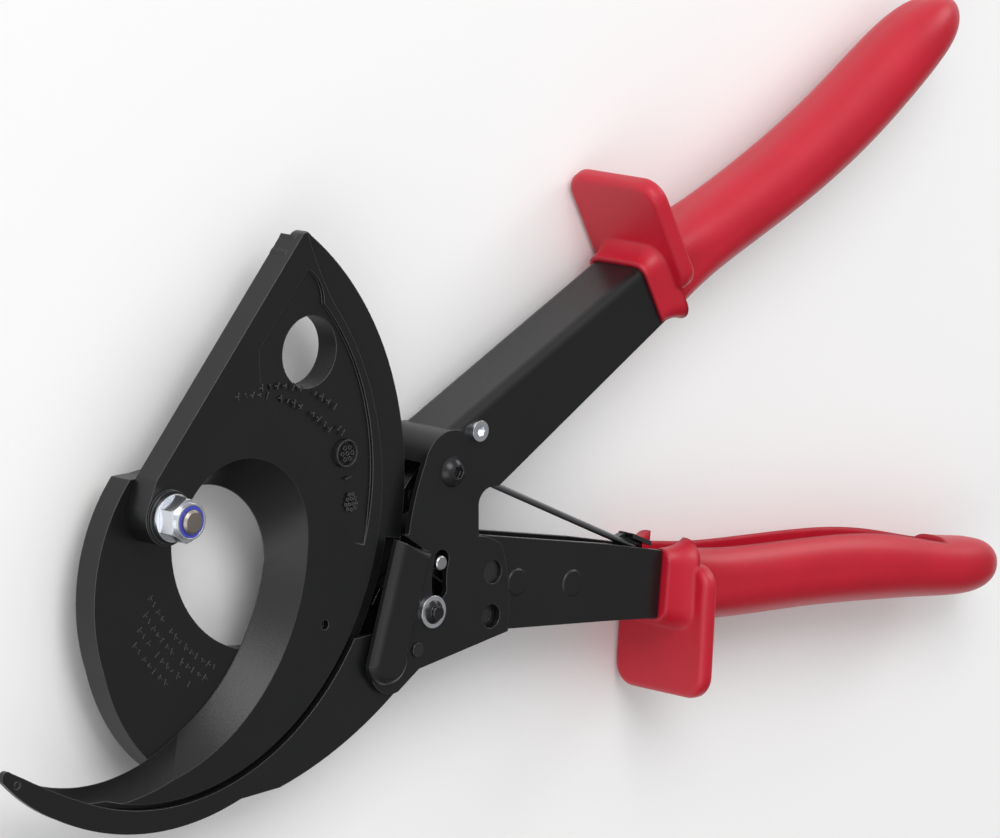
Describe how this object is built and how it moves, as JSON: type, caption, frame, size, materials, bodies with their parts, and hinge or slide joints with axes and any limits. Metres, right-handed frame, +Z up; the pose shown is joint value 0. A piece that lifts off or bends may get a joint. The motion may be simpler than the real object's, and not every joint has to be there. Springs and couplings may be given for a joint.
{
  "type": "ratchet cable cutter",
  "caption": "Two-handed ratchet cable cutter with a hooked fixed jaw, a toothed sickle-shaped blade and dipped handles with finger stops.",
  "frame": {"origin": "middle of the tool's footprint at the plane it lies on", "axes": "+X from the jaws towards the grips, +Z up through the tool's thickness, away from the side it lies on"},
  "size_m": [0.4638, 0.2337, 0.042],
  "materials": {
    "black_steel": "satin",
    "grip": "satin",
    "bolt_steel": "satin",
    "zinc": "bright",
    "nylon": "matt",
    "plain_steel": "satin",
    "spring_steel": "satin",
    "bronze": "satin",
    "clip": "gloss"
  },
  "bodies": {
    "frame": {"upper_frame": "black_steel", "upper_grip": "grip", "fixed_jaw": "black_steel", "rim_guard": "black_steel", "main_bolt": "bolt_steel", "front_washer": "zinc", "lock_nut": "zinc", "nut_insert": "nylon", "holding_pawl_bolt": "black_steel", "pawl_sleeve": "plain_steel", "spacer_screw": "zinc", "spacer_sleeves": "plain_steel", "frame_bolt": "black_steel", "frame_bolt_washer": "zinc", "guard_pin": "plain_steel", "frame_nuts": "zinc", "handle_pivot_pin": "plain_steel", "return_spring_coil": "spring_steel", "holding_pawl_spring": "spring_steel"},
    "blade": {"moving_blade": "black_steel", "blade_bush": "bronze"},
    "lower_handle": {"lower_handle": "black_steel", "lower_grip": "grip", "drive_lever": "plain_steel", "lever_rivet": "plain_steel", "channel_rivets": "black_steel", "drive_pawl_pin": "plain_steel", "drive_pawl_spring": "spring_steel", "spring_clip": "clip"},
    "drive_pawl": {"drive_pawl": "plain_steel"},
    "holding_pawl": {"holding_pawl": "plain_steel", "release_lever": "black_steel"},
    "spring_leg": {"return_spring_leg": "spring_steel"}
  },
  "joints": [
    {"name": "blade_swing", "type": "hinge", "parent": "frame", "child": "blade", "pos_m": [-0.1607, -0.01518, 0.0245], "axis": [0, 0, 1], "range_deg": [-72, 138]},
    {"name": "handle_squeeze", "type": "hinge", "parent": "frame", "child": "lower_handle", "pos_m": [-0.0212, -0.05278, 0.0205], "axis": [0, 0, 1], "range_deg": [0, 18], "stiffness_Nm_per_rad": 3, "springref_deg": -11.46},
    {"name": "drive_pawl_rock", "type": "hinge", "parent": "lower_handle", "child": "drive_pawl", "pos_m": [-0.0448, -0.04638, 0.0218], "axis": [0, 0, 1], "range_deg": [-24, 0]},
    {"name": "holding_pawl_lift", "type": "hinge", "parent": "frame", "child": "holding_pawl", "pos_m": [-0.0394, -0.01658, 0.0218], "axis": [0, 0, 1], "range_deg": [0, 14], "stiffness_Nm_per_rad": 0.3, "springref_deg": -11.46},
    {"name": "spring_leg_swing", "type": "hinge", "parent": "frame", "child": "spring_leg", "pos_m": [-0.0394, -0.01658, 0.0261], "axis": [0, 0, 1], "range_deg": [0, 13]}
  ],
  "couplings": [
    {"joint": "drive_pawl_rock", "follows": "handle_squeeze", "ratio": -1.22},
    {"joint": "spring_leg_swing", "follows": "handle_squeeze", "ratio": 0.68}
  ]
}
